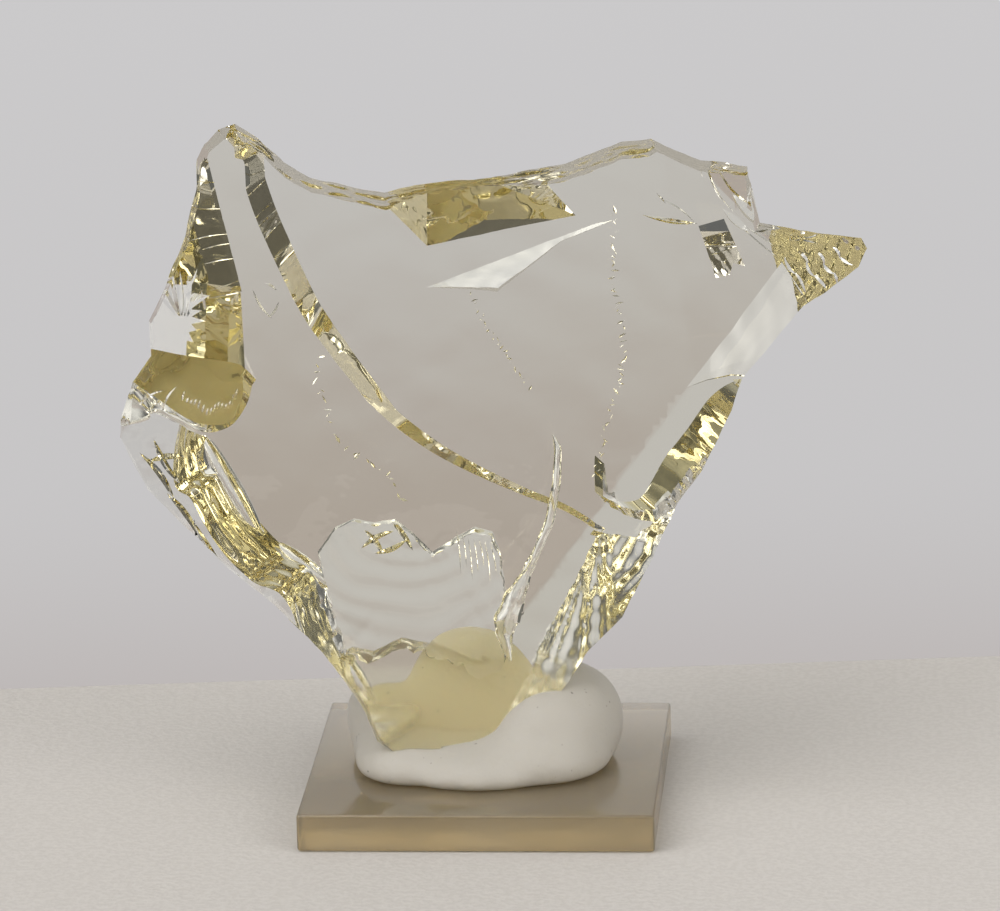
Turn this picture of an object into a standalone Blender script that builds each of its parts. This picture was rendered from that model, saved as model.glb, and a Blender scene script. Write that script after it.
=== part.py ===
"""A shard of pale yellow glass, gripped by a lump of putty on a square acrylic base.

Frame: +Z up, X along the shard's width, -Y the side that the shard's best face looks to.
The origin is the centre of the base's underside. Sizes below are in millimetres.

The shard is worked like a broken stone. It starts as a thick slab with the shard's outline,
and every facet, ledge and hollow is one cut taken off it. The cuts are given in the shard's
own frame, (across, away, up): to the right, through the thickness and up. That frame leans
back by LEAN, is turned by TURN, and has its origin on top of the base.
"""
import math

import bmesh
import bpy
from mathutils import Matrix, Vector

MM = 0.001

# Base
BASE_SIDE = 38.1
BASE_THICK = 4.1
BASE_CHAMFER = 0.4

# Putty: soft lobes that run together, each its centre, its half widths and its turn in degrees
LOBES = (
    ((-0.6, -0.2, 5.0), (14.4, 12.4, 3.9), 0), ((7.0, 0.6, 8.0), (7.8, 9.4, 6.9), -10),
    ((-10.4, 2.0, 7.8), (5.2, 8.6, 5.2), 14), ((-1.0, 7.4, 7.8), (10.0, 4.8, 5.6), 0),
    ((-2.0, 7.2, 11.0), (7.6, 4.0, 7.2), 0), ((5.6, -3.4, 5.6), (8.2, 7.8, 4.5), 10),
    ((-10.2, -4.6, 6.4), (4.6, 6.2, 4.6), 20),
)
PUTTY_GRAIN = 1.3
PUTTY_SOFTENING = 8
GAP = 0.3

# Shard
TURN = math.radians(4.6)
LEAN = math.radians(16.0)
SLAB_NEAR = -24.0
SLAB_FAR = 14.0
SPREAD = -1 / 2200
DRAW_CENTRE = (2.3, 32.9)
FRONT_DEPTH = -15.0
FRONT_SCALE = 0.977
BLOCK = 70.0
SOLE_HEIGHT = 1.9
BALL_ROUNDS = 3

# The two main faces: a point (across, away, up) and the direction that the face looks to.
FRONT = ((0.0, -13.4, 35.0), (0.0, -1.0, -0.14))
BACK = ((0.0, 0.6, 35.0), (0.0, 1.0, 0.249))

# The shard's outline seen square on, (across, up), clockwise from its left peak.
OUTLINE = (
    (-25.7, 69.5), (-23.0, 67.8), (-20.5, 65.3), (-17.8, 63.7), (-9.7, 61.8), (-6.4, 62.5),
    (2.9, 63.4), (10.0, 64.5), (16.0, 66.7), (19.3, 67.0), (24.7, 64.5), (29.9, 63.7),
    (30.3, 61.1), (31.1, 57.6), (35.4, 56.6), (42.1, 55.7), (42.8, 54.4), (41.8, 52.3),
    (38.0, 49.6), (35.8, 48.4), (31.8, 43.6), (29.0, 40.6), (27.8, 37.1), (24.4, 30.7),
    (21.6, 26.9), (18.1, 19.9), (15.3, 14.6), (11.4, 10.8), (7.2, 4.7), (4.6, 1.5),
    (1.3, -1.0), (-3.6, -1.6), (-9.0, -1.2), (-12.3, 1.7), (-14.0, 5.7), (-18.0, 11.6),
    (-23.4, 17.1), (-29.2, 22.2), (-33.5, 26.7), (-36.7, 30.0), (-39.1, 35.0), (-39.6, 35.8),
    (-39.4, 37.7), (-38.0, 42.0), (-35.8, 44.7), (-35.9, 48.5), (-33.9, 52.3), (-31.6, 57.7),
    (-30.4, 62.6), (-30.1, 65.8), (-29.2, 67.5), (-27.5, 69.0),
)


# The starburst on the left: its spikes are pairs of an angle and a length.
STAR_CENTRE = (-33.4, 48.6)
STAR_DIP = 2.9
STAR_SPIKES = (
    (-62, 3.4), (-40, 3.9), (-20, 3.6), (-4, 4.4), (12, 4.1), (27, 5.6), (40, 4.3), (52, 5.9),
    (63, 5.2), (73, 7.2), (84, 6.4), (94, 7.8), (105, 6.0), (118, 6.6), (135, 6.0), (165, 6.0),
    (195, 6.0), (240, 4.6), (268, 4.0),
)

# Flutes down the lower left: the centre, half lengths, bite and turn of each hollow.
FLUTES = (
    ((-27.0, 30.6), (7.0, 3.0, 1.2), 2.4, 63), ((-24.4, 25.6), (6.0, 2.6, 1.0), 1.8, 55),
    ((-19.3, 22.0), (4.6, 2.6, 1.1), 1.5, 40), ((-20.6, 16.6), (6.5, 2.6, 1.1), 2.0, 58),
    ((-15.6, 16.8), (4.0, 2.2, 1.2), 1.4, 62), ((-14.6, 10.4), (4.6, 2.4, 1.1), 1.8, 60),
)


def clear_scene():
    for old in list(bpy.data.objects):
        bpy.data.objects.remove(old, do_unlink=True)


def new_collection(name):
    collection = bpy.data.collections.new(name)
    bpy.context.scene.collection.children.link(collection)
    return collection


def material(name, colour, roughness, transmission=0.0, ior=1.5):
    made = bpy.data.materials.new(name)
    made.use_nodes = True
    shader = made.node_tree.nodes["Principled BSDF"]
    shader.inputs["Base Color"].default_value = (*colour, 1.0)
    shader.inputs["Roughness"].default_value = roughness
    shader.inputs["Metallic"].default_value = 0.0
    shader.inputs["Transmission Weight"].default_value = transmission
    shader.inputs["IOR"].default_value = ior
    made.diffuse_color = (*colour, 1.0)
    return made


def new_object(name, bm, collection):
    mesh = bpy.data.meshes.new(name)
    bm.to_mesh(mesh)
    bm.free()
    made = bpy.data.objects.new(name, mesh)
    collection.objects.link(made)
    return made


def combine(target, other, operation):
    """Put an EXACT Boolean with a cutter on target."""
    cut = target.modifiers.new(other.name, 'BOOLEAN')
    cut.operation = operation
    cut.solver = 'EXACT'
    cut.object = other
    other.hide_render = True
    other.display_type = 'WIRE'


# --- the tools that cut the shard ----------------------------------------------------------

def depth_on(face, across, up):
    """How far away a main face lies at a point (across, up)."""
    (at_across, at_away, at_up), (x, y, z) = face
    return at_away - (x * (across - at_across) + z * (up - at_up)) / y


def slab(at, faces, grow=0.0):
    """A block of space whose near side is a flat facet at a point, facing a direction."""
    normal = Vector(faces).normalized()
    turn = normal.to_track_quat('Z', 'Y').to_matrix().to_4x4()
    centre = (Vector(at) + normal * (BLOCK + grow)) * MM
    bm = bmesh.new()
    bmesh.ops.create_cube(bm, size=2 * BLOCK * MM, matrix=Matrix.Translation(centre) @ turn)
    return bm


def bevel(face, start, end, slope, grow=0.0):
    """The block behind a facet that leaves a main face along the line from start to end.

    The facet falls into the glass at slope degrees, to the left of that line as seen from
    the front.
    """
    normal = Vector(face[1]).normalized()
    first = Vector((start[0], depth_on(face, *start), start[1]))
    last = Vector((end[0], depth_on(face, *end), end[1]))
    outward = (last - first).normalized().cross(normal)
    if normal.y < 0:
        outward.negate()
    angle = math.radians(slope)
    return slab(first, normal * math.cos(angle) + outward * math.sin(angle), grow)


def column(face, outline, lean=(0.0, 0.0)):
    """A column through the shard over an outline (across, up) that is drawn on a main face.

    lean is how far the column shifts, (across, up), for each millimetre into the glass.
    """
    inward = -math.copysign(1.0, face[1][1])
    curve = bpy.data.curves.new("column", 'CURVE')
    curve.dimensions = '2D'
    curve.fill_mode = 'BOTH'
    curve.extrude = 2 * -SLAB_NEAR * MM
    spline = curve.splines.new('POLY')
    spline.points.add(len(outline) - 1)
    for point, (across, up) in zip(spline.points, outline):
        point.co = (across * MM, up * MM, 0.0, 1.0)
    spline.use_cyclic_u = True
    flat = bpy.data.objects.new("column", curve)
    bpy.context.scene.collection.objects.link(flat)
    graph = bpy.context.evaluated_depsgraph_get()
    mesh = bpy.data.meshes.new_from_object(flat.evaluated_get(graph))
    bpy.data.objects.remove(flat, do_unlink=True)
    bm = bmesh.new()
    bm.from_mesh(mesh)
    bpy.data.meshes.remove(mesh)
    bmesh.ops.remove_doubles(bm, verts=bm.verts, dist=0.00001)
    for vert in bm.verts:
        across, up, deep = vert.co
        away = deep * inward + depth_on(face, across / MM, up / MM) * MM
        vert.co = (across + lean[0] * deep, away, up + lean[1] * deep)
    bmesh.ops.recalc_face_normals(bm, faces=bm.faces)
    if bm.calc_volume(signed=True) < 0.0:
        bmesh.ops.reverse_faces(bm, faces=bm.faces)
    return bm


def ball(face, centre, radii, bite, turn=0.0):
    """An egg-shaped block that leaves a hollow bite deep in a main face.

    radii are its half lengths along the face, through it and up. turn rolls it in the face.
    """
    outward = Vector(face[1]).normalized()
    on_face = Vector((centre[0], depth_on(face, *centre), centre[1]))
    place = Matrix.Translation((on_face + outward * (radii[1] - bite)) * MM)
    aim = outward.to_track_quat('Y', 'Z').to_matrix().to_4x4()
    roll = Matrix.Rotation(math.radians(turn), 4, 'Y')
    size = Matrix.Diagonal((*radii, 1.0))
    bm = bmesh.new()
    bmesh.ops.create_icosphere(bm, subdivisions=BALL_ROUNDS, radius=MM,
                               matrix=place @ aim @ roll @ size)
    return bm


def foot_cuts(grow=0.0):
    """The flat cuts that shape the foot, moved out by grow."""
    return {
        "front_face": [slab(*FRONT, grow)],
        "back_face": [slab(*BACK, grow)],
        "sole": [slab((0, 0, SOLE_HEIGHT), (0, math.sin(LEAN), -math.cos(LEAN)), grow)],
        "right_bevel": [
            bevel(FRONT, (32.6, 52.3), (13.0, 27.3), 12, grow),
            column(FRONT, ((60, -10), (60, 42), (35.6, 48.0), (32.9, 52.2), (28, 60), (10, 60),
                           (-5, 20), (-5, -10))),
        ],
    }


def star(centre, spikes, dip):
    """An outline of long spikes, each given by its angle and length, with dips between them."""
    points = []
    for count, (angle, length) in enumerate(spikes):
        following = spikes[(count + 1) % len(spikes)][0] + (360 if count + 1 == len(spikes) else 0)
        for turn, reach in ((angle, length), ((angle + following) / 2, dip)):
            points.append((centre[0] + reach * math.cos(math.radians(turn)),
                           centre[1] + reach * math.sin(math.radians(turn))))
    return points


def on_front(points):
    """Outline points moved to where the front face carries them."""
    x, y = DRAW_CENTRE
    return [(x + (a - x) * FRONT_SCALE, y + (b - y) * FRONT_SCALE) for a, b in points]


def left_cuts():
    """The long bevel on the left, the starburst and the flank below it, and the flutes."""
    star_face = (-34.0, -10.6, 48.0), (-0.28, 1.0, 0.1)
    cuts = {
        "left_bevel": [
            bevel(BACK, (-25.2, 51.5), (-28.5, 66.0), 51),
            column(BACK, ((-60, 52.4), (-30.5, 52.2), (-20, 51.3), (-20, 70), (-60, 82))),
        ],
        "left_bevel_low": [
            bevel(BACK, (-25.2, 44.0), (-25.4, 52.5), 51),
            column(BACK, ((-60, 53.0), (-30.5, 52.6), (-20, 51.6), (-20, 43.0), (-60, 47.0))),
            slab(*star_face),
        ],
        "starburst": [slab(*star_face), column(BACK, star(STAR_CENTRE, STAR_SPIKES, STAR_DIP))],
        "yellow_flank": [
            bevel(BACK, (-29.0, 34.5), (-22.5, 41.0), 38),
            column(BACK, ((-24.4, 42.6), (-24.5, 41.7), (-25.2, 39.6), (-27.0, 37.4), (-29.9, 36.8),
                          (-32.8, 38.2), (-35.2, 39.2), (-38.2, 37.8), (-60, 34), (-60, 43.0),
                          (-36.0, 42.0), (-30.3, 42.0)), (-0.30, 0.30)),
        ],
        "lower_left_shelf": [
            column(BACK, ((-29.0, 60), (-29.5, 36.7), (-27.5, 32.4), (-25.2, 28.3), (-21.4, 24.0),
                          (-18.0, 21.9), (-16.2, 17.6), (-14.2, 12.0), (-12.4, 7.0), (-8, 4),
                          (-30, -20), (-70, -20), (-70, 60)), (-0.44, -0.38)),
            column(BACK, ((-60, 34), (-38.2, 37.6), (-35.2, 39.0), (-32.8, 38.0), (-29.9, 36.4),
                          (-26, 36), (-5, 36), (-5, -20), (-60, -20)), (0.0, -0.05)),
            slab((-30.0, -6.2, 28.0), (-0.10, 1.0, 0.15)),
        ],
        "peak_facet": [
            bevel(BACK, (-25.6, 66.0), (-20.6, 64.6), 58),
            column(BACK, ((-25.5, 60), (-17, 60), (-17, 80), (-25.5, 80))),
        ],
    }
    for count, flute in enumerate(FLUTES, 1):
        cuts[f"flute_{count}"] = [ball(BACK, *flute)]
    return cuts


def ledge_cuts():
    """The long curved ledge across the back, the hooked one and the scalloped dish."""
    return {
        "long_ledge": [
            column(BACK, ((-24.5, 80), (-24.5, 65.1), (-24.1, 61.3), (-21.5, 54.7), (-18.9, 49.2),
                          (-16.2, 45.2), (-11.6, 39.0), (18, 0), (70, 0), (70, 80)),
                   (0.85, 0.45)),
            column(BACK, ((-40, 77), (-16.6, 45.6), (-11.0, 38.6), (-6.2, 34.7), (-1.4, 31.9),
                          (4.2, 29.3), (8.5, 27.6), (12.0, 25.6), (16.1, 24.1), (70, 14), (70, 90)),
                   (0.56, 0.47)),
            slab((0.0, -0.85, 35.0), (-0.06, 1.0, 0.2407)),
        ],
        "hook_ledge": [
            column(BACK, ((11.9, 31.8), (12.6, 29.8), (14.2, 29.0), (16.2, 29.3), (17.6, 31.3),
                          (19.2, 33.7), (22.0, 36.9), (24.4, 39.9), (27.0, 41.4), (31.0, 41.6),
                          (70, 42), (70, 0), (12.0, 0)), (0.56, -0.58)),
            column(BACK, ((-10, 40), (11.6, 32.0), (12.3, 29.4), (13.4, 27.9), (15.4, 26.8),
                          (18.3, 26.1), (20.4, 27.0), (25, 31), (60, 40), (60, 90), (-60, 90)),
                   (-0.25, 0.45)),
            slab((15.0, -0.9, 29.5), (0.27, 1.0, 0.249)),
        ],
        "dish": [
            column(BACK, ((-17.9, 23.6), (-16.0, 26.2), (-13.8, 27.1), (-11.7, 26.6), (-9.5, 27.0),
                          (-7.0, 24.9), (-5.5, 23.3), (-3.0, 24.8), (-0.8, 25.9), (1.1, 25.3),
                          (1.9, 23.1), (2.6, 17.0), (1.1, 12.8), (-1.1, 11.2), (-4.9, 12.9),
                          (-9.2, 13.9), (-12.3, 12.5), (-15.3, 13.2)), (0.0, -0.45)),
            slab((-6.0, 2.4, 20.0), (0.05, 1.0, 0.13)),
        ],
    }


def top_and_right_cuts():
    """The rim, bowl and blade along the top, and the facets down the right side."""
    return {
        "top_rim": [column(FRONT, [(-60, 110), (-27, 78)] + on_front(OUTLINE[:10])
                           + [(60, 90), (60, 110)], (0.0, -0.12))],
        "top_rim_right": [column(FRONT, on_front(OUTLINE[9:12])
                                 + [(80, 63.0), (80, 110), (-60, 110)], (0.0, -0.03))],
        "top_bowl": [
            bevel(BACK, (-12.5, 61.0), (-5.3, 54.2), 42),
            bevel(BACK, (-5.3, 54.2), (9.0, 57.8), 35),
            bevel(BACK, (13.0, 57.5), (7.0, 64.5), 50),
        ],
        "blade": [
            bevel(BACK, (18.0, 60.0), (-8.6, 52.6), 47),
            column(BACK, ((-8.5, 51.6), (-3.9, 54.0), (2.7, 56.3), (14.9, 58.3), (9.2, 56.1),
                          (5.6, 53.4), (2.2, 50.9), (-0.7, 51.2)), (0.04, 0.10)),
        ],
        "corner_fan": [bevel(BACK, (23.5, 65.0), (30.4, 57.2), 20)],
        "spur_bevel": [
            bevel(BACK, (31.0, 58.5), (33.7, 47.6), 46),
            column(BACK, ((20, 70), (20, 40), (36, 46.5), (50, 46), (50, 70))),
        ],
        "spur_top": [column(FRONT, ((29.5, 60.6), (34.0, 56.8), (38.0, 56.3), (41.6, 55.3), (44, 53.8),
                                    (60, 56), (60, 70), (29.5, 70)), (-0.02, -0.12))],
        "white_facet": [
            bevel(FRONT, (32.4, 52.3), (19.4, 36.0), 30),
            column(FRONT, ((21.6, 39.4), (24.4, 40.4), (27.0, 40.9), (31, 40.6), (60, 39), (60, 42),
                           (35.6, 48.0), (32.9, 52.2), (28, 60), (20, 60))),
        ],
        "right_flank": [
            bevel(BACK, (12.2, 26.5), (1.8, 7.5), 42),
            column(BACK, ((-10, -10), (70, -10), (70, 34), (24, 31), (21.5, 27.5), (19.9, 26.4),
                          (17.7, 25.4), (16.1, 24.1), (12.8, 25.1), (11.0, 25.5), (-10, 24)),
                   (0.05, 0.12)),
        ],
    }


def grown(outline, by):
    """The outline with every point moved outward."""
    moved = []
    for count, point in enumerate(outline):
        before = Vector(outline[count - 1])
        after = Vector(outline[(count + 1) % len(outline)])
        along = (after - before).normalized()
        moved.append((point[0] - along.y * by, point[1] + along.x * by))
    return moved


def rough_slab(name, collection, grow=0.0):
    """The thick slab with the shard's outline. Its walls draw in towards the back."""
    bm = bmesh.new()
    rings = []
    for away in (SLAB_NEAR, SLAB_FAR):
        scale = FRONT_SCALE + (away - FRONT_DEPTH) * SPREAD
        ring = []
        for across, up in grown(OUTLINE, grow):
            x = DRAW_CENTRE[0] + (across - DRAW_CENTRE[0]) * scale
            z = DRAW_CENTRE[1] + (up - DRAW_CENTRE[1]) * scale
            ring.append(bm.verts.new((x * MM, away * MM, z * MM)))
        rings.append(ring)
    near, far = rings
    bm.faces.new(near)
    bm.faces.new(far)
    for here in range(len(OUTLINE)):
        bm.faces.new((near[here - 1], near[here], far[here], far[here - 1]))
    bmesh.ops.recalc_face_normals(bm, faces=bm.faces)
    return new_object(name, bm, collection)


def place_shard(piece):
    piece.location = (0.0, 0.0, BASE_THICK * MM)
    piece.rotation_euler = (-LEAN, 0.0, TURN)


def carve(piece, cuts, cutters):
    """Place a piece of the shard and take the cuts off it."""
    place_shard(piece)
    for name, blocks in cuts.items():
        made = [new_object(f"{piece.name}_{name}", bm, cutters) for bm in blocks]
        for block in made:
            place_shard(block)
        for other in made[1:]:
            combine(made[0], other, 'INTERSECT')
        combine(piece, made[0], 'DIFFERENCE')


def make_shard(parts, cutters):
    shard = rough_slab("crystal", parts)
    carve(shard, foot_cuts() | left_cuts() | ledge_cuts() | top_and_right_cuts(), cutters)
    shard.data.materials.append(material("glass", (0.86, 0.83, 0.62), 0.02, 1.0, 1.5))


# --- putty and base ------------------------------------------------------------------------

def make_putty(parts, cutters):
    """A lump pressed round the foot: the lobes run together by a remesh, then softened."""
    floor = BASE_THICK + GAP
    bm = bmesh.new()
    for centre, radii, turn in LOBES:
        place = Matrix.Translation(Vector(centre) * MM) @ Matrix.Rotation(math.radians(turn), 4, 'Z')
        size = Matrix.Diagonal((*radii, 1.0))
        bmesh.ops.create_icosphere(bm, subdivisions=4, radius=MM, matrix=place @ size)
    for vert in bm.verts:
        vert.co.z = max(vert.co.z, floor * MM)
    putty = new_object("putty", bm, parts)
    grain = putty.modifiers.new("lump", 'REMESH')
    grain.mode = 'VOXEL'
    grain.voxel_size = PUTTY_GRAIN * MM
    soften = putty.modifiers.new("soften", 'SMOOTH')
    soften.iterations = PUTTY_SOFTENING
    underside = new_object("putty_underside", slab((0, 0, floor), (0, 0, -1)), cutters)
    combine(putty, underside, 'DIFFERENCE')
    pocket = rough_slab("pocket", cutters, GAP)
    carve(pocket, foot_cuts(GAP), cutters)
    combine(putty, pocket, 'DIFFERENCE')
    putty.data.materials.append(material("putty", (0.78, 0.75, 0.70), 0.7))
    return putty


def make_base(parts):
    bm = bmesh.new()
    centre = Matrix.Translation((0.0, 0.0, BASE_THICK / 2 * MM))
    size = Matrix.Diagonal((BASE_SIDE * MM, BASE_SIDE * MM, BASE_THICK * MM, 1.0))
    bmesh.ops.create_cube(bm, size=1.0, matrix=centre @ size)
    base = new_object("base_plate", bm, parts)
    edges = base.modifiers.new("edges", 'BEVEL')
    edges.width = BASE_CHAMFER * MM
    edges.segments = 1
    base.data.materials.append(material("acrylic", (0.80, 0.72, 0.50), 0.08, 1.0, 1.49))
    return base


def main():
    clear_scene()
    parts = new_collection("andara_crystal")
    cutters = new_collection("cutters")
    make_shard(parts, cutters)
    make_putty(parts, cutters)
    make_base(parts)


main()
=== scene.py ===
"""The looks of a pale yellow glass shard in a lump of putty on a clear acrylic base."""
import math
import random

import bmesh
import bpy
import numpy as np
from mathutils import Matrix, Vector
from mathutils.bvhtree import BVHTree


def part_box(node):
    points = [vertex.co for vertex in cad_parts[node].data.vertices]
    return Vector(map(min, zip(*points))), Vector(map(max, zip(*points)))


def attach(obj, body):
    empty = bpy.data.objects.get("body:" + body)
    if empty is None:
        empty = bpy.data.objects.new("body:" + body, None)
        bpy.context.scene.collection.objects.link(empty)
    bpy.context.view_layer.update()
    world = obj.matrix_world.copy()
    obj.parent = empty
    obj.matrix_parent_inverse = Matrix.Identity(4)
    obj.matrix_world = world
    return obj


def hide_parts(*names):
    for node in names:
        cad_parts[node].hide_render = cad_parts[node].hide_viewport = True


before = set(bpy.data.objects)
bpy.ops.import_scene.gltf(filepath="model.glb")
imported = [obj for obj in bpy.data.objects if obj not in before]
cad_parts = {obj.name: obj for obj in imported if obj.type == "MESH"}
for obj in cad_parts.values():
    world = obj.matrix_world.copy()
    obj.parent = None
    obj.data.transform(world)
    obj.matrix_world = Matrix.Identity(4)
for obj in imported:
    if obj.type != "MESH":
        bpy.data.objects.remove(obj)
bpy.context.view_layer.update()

MM = 0.001

# --- sizes that the solids share, in millimetres -------------------------------------------
BASE_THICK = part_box("base_plate")[1][2] / MM
TURN = math.radians(4.6)
LEAN = math.radians(16.0)
SLAB_NEAR = -24.0
SLAB_FAR = 14.0
SPREAD = -1 / 2200
DRAW_CENTRE = (2.3, 32.9)
FRONT_DEPTH = -15.0
FRONT_SCALE = 0.977
BLOCK = 70.0
SOLE_HEIGHT = 1.9
JAG_DEEP = 4.0
JAG_SEED = 3
LONG_SIDE = 25.0
GROOVE_STATIONS = 17
GROOVE_LIFT = 0.15
FRONT = ((0.0, -13.4, 35.0), (0.0, -1.0, -0.14))
BACK = ((0.0, 0.6, 35.0), (0.0, 1.0, 0.249))

OUTLINE = (
    (-25.7, 69.5), (-23.0, 67.8), (-20.5, 65.3), (-17.8, 63.7), (-9.7, 61.8), (-6.4, 62.5),
    (2.9, 63.4), (10.0, 64.5), (16.0, 66.7), (19.3, 67.0), (24.7, 64.5), (29.9, 63.7),
    (30.3, 61.1), (31.1, 57.6), (35.4, 56.6), (42.1, 55.7), (42.8, 54.4), (41.8, 52.3),
    (38.0, 49.6), (35.8, 48.4), (31.8, 43.6), (29.0, 40.6), (27.8, 37.1), (24.4, 30.7),
    (21.6, 26.9), (18.1, 19.9), (15.3, 14.6), (11.4, 10.8), (7.2, 4.7), (4.6, 1.5),
    (1.3, -1.0), (-3.6, -1.6), (-9.0, -1.2), (-12.3, 1.7), (-14.0, 5.7), (-18.0, 11.6),
    (-23.4, 17.1), (-29.2, 22.2), (-33.5, 26.7), (-36.7, 30.0), (-39.1, 35.0), (-39.6, 35.8),
    (-39.4, 37.7), (-38.0, 42.0), (-35.8, 44.7), (-35.9, 48.5), (-33.9, 52.3), (-31.6, 57.7),
    (-30.4, 62.6), (-30.1, 65.8), (-29.2, 67.5), (-27.5, 69.0),
)


# --- noise ---------------------------------------------------------------------------------

# Large odd numbers that scatter a cell's x, y, z and seed, and one that scatters them again.
SCATTER = (374761393, 668265263, 1274126177, 974634777)
SCATTER_AGAIN = 1103515245
LOW_BITS = 0xFFFF


def lattice(cell, seed):
    """A fixed value from -1 to 1 for each whole-number cell (x, y, z)."""
    key = cell.astype(np.int64)
    mixed = seed * SCATTER[3] + sum(key[:, axis] * SCATTER[axis] for axis in range(3))
    mixed = (mixed ^ (mixed >> 13)) * SCATTER_AGAIN
    mixed = (mixed ^ (mixed >> 16)) & LOW_BITS
    return mixed / (LOW_BITS / 2) - 1.0


def noise(points, seed=0):
    """Smooth noise from -1 to 1, with features about one unit across."""
    base = np.floor(points)
    part = points - base
    ease = part * part * part * (part * (part * 6 - 15) + 10)
    total = np.zeros(len(points))
    for corner in np.ndindex(2, 2, 2):
        offset = np.array(corner)
        weight = np.prod(np.where(offset == 1, ease, 1 - ease), axis=1)
        total += weight * lattice(base + offset, seed)
    return total


def rough(points, size, seed=0, octaves=3):
    """Noise with detail at each halving of size."""
    total = np.zeros(len(points))
    for octave in range(octaves):
        total += noise(points * 2 ** octave / size, seed + octave) / 2 ** octave
    return total / 1.75


class Relief:
    """How a broken face departs from its plain form, in millimetres.

    strike is where the break began (across, away, up). waves are rings round it, hackles are
    splinter lines that run out from it, and lumps are an even unevenness. Each is a pair:
    height and size.
    """

    def __init__(self, strike, waves=(0, 1), hackles=(0, 1), lumps=(0.01, 6), seed=1, sharp=3.0):
        self.strike = np.array(strike, dtype=float)
        self.sharp = sharp
        self.waves = waves
        self.hackles = hackles
        self.lumps = lumps
        self.seed = seed

    def height(self, points, right, up):
        """Height at each point of a face whose own directions are right and up."""
        from_strike = points - self.strike
        x = from_strike @ right
        y = from_strike @ up
        reach = np.hypot(x, y) + 0.001
        total = self.lumps[0] * rough(points, self.lumps[1], self.seed)
        if self.waves[0]:
            wobble = 0.35 * noise(points / 5, self.seed + 7)
            strength = 0.55 + 0.45 * noise(points / 7, self.seed + 8)
            turns = reach / self.waves[1] + wobble
            total += self.waves[0] * strength * np.sin(2 * np.pi * turns)
        if self.hackles[0]:
            turn = np.arctan2(y, x) * np.median(reach) / self.hackles[1]
            where = np.stack([turn, reach / (9 * self.hackles[1]), np.zeros(len(x))], axis=1)
            crest = np.maximum(0, 1 - self.sharp * np.abs(noise(where, self.seed + 9)))
            patch = np.clip(0.6 + noise(points / 5, self.seed + 10), 0, 1)
            total += self.hackles[0] * crest * patch
        return total


# --- the tools that cut the shard ----------------------------------------------------------

def linked(name, data):
    """A new object of the scene, with the data given."""
    made = bpy.data.objects.new(name, data)
    bpy.context.scene.collection.objects.link(made)
    return made


def mesh_object(name, verts, faces):
    mesh = bpy.data.meshes.new(name)
    mesh.from_pydata([tuple(v) for v in verts], [], faces)
    return linked(name, mesh)


def bmesh_object(name, bm):
    """A new object with the shape of a bmesh, which is freed."""
    mesh = bpy.data.meshes.new(name)
    bm.to_mesh(mesh)
    bm.free()
    return linked(name, mesh)


def face_outward(made):
    bm = bmesh.new()
    bm.from_mesh(made.data)
    bmesh.ops.recalc_face_normals(bm, faces=bm.faces)
    bm.to_mesh(made.data)
    bm.free()
    return made


def depth_on(face, across, up):
    """How far away a main face lies at a point (across, up)."""
    (at_across, at_away, at_up), (x, y, z) = face
    return at_away - (x * (across - at_across) + z * (up - at_up)) / y


def depth_point(face, across, up):
    """The point (across, away, up) of a main face at (across, up)."""
    return across, depth_on(face, across, up), up


def slab(at, faces, span=12.0, step=0.45, relief=None, middle=None):
    """A block of space whose near side is a facet through a point, facing a direction.

    The facet is finely meshed for span either way of middle.
    """
    normal = np.array(Vector(faces).normalized())
    turn = np.array(Vector(faces).normalized().to_track_quat('Z', 'Y').to_matrix())
    right, up = turn[:, 0], turn[:, 1]
    at = np.array(at, dtype=float)
    middle = at if middle is None else np.array(middle, dtype=float)
    shift_x, shift_y = (middle - at) @ right, (middle - at) @ up
    count = max(2, round(2 * span / step))
    fine = np.linspace(-span, span, count + 1)
    xs = np.concatenate([[-BLOCK], fine + shift_x, [BLOCK]])
    ys = np.concatenate([[-BLOCK], fine + shift_y, [BLOCK]])
    gx, gy = np.meshgrid(xs, ys, indexing='ij')
    points = at + gx.reshape(-1, 1) * right + gy.reshape(-1, 1) * up
    if relief is not None:
        inside = (np.abs(gx - shift_x) <= span) & (np.abs(gy - shift_y) <= span)
        height = relief.height(points, right, up) * inside.reshape(-1)
        points = points + height.reshape(-1, 1) * normal
    nx, ny = len(xs), len(ys)
    index = np.arange(nx * ny).reshape(nx, ny)
    faces_out = [tuple(int(index[i + a, j + b]) for a, b in ((0, 0), (0, 1), (1, 1), (1, 0)))
                 for i in range(nx - 1) for j in range(ny - 1)]
    corners = [at + x * right + y * up + 2 * BLOCK * normal
               for x, y in ((-BLOCK, -BLOCK), (BLOCK, -BLOCK), (BLOCK, BLOCK), (-BLOCK, BLOCK))]
    first = nx * ny
    low, high = [int(i) for i in index[:, 0]], [int(i) for i in index[:, -1]]
    near, far = [int(i) for i in index[0, :]], [int(i) for i in index[-1, :]]
    faces_out.append(tuple(low) + (first + 1, first))
    faces_out.append(tuple(high[::-1]) + (first + 3, first + 2))
    faces_out.append(tuple(near[::-1]) + (first, first + 3))
    faces_out.append(tuple(far) + (first + 2, first + 1))
    faces_out.append((first, first + 1, first + 2, first + 3))
    verts = np.concatenate([points, np.array(corners)]) * MM
    return face_outward(mesh_object("slab", verts, faces_out))


def facet_plane(face, start, end, slope):
    """The facet that leaves a main face along a line from start to end.

    It is given by a point, the way it faces, the middle of the line and the way it falls.
    """
    normal = Vector(face[1]).normalized()
    first = Vector(depth_point(face, *start))
    last = Vector(depth_point(face, *end))
    outward = (last - first).normalized().cross(normal)
    if normal.y < 0:
        outward.negate()
    angle = math.radians(slope)
    facing = normal * math.cos(angle) + outward * math.sin(angle)
    fall = outward * math.cos(angle) - normal * math.sin(angle)
    return first, facing, (first + last) / 2, fall


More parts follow.
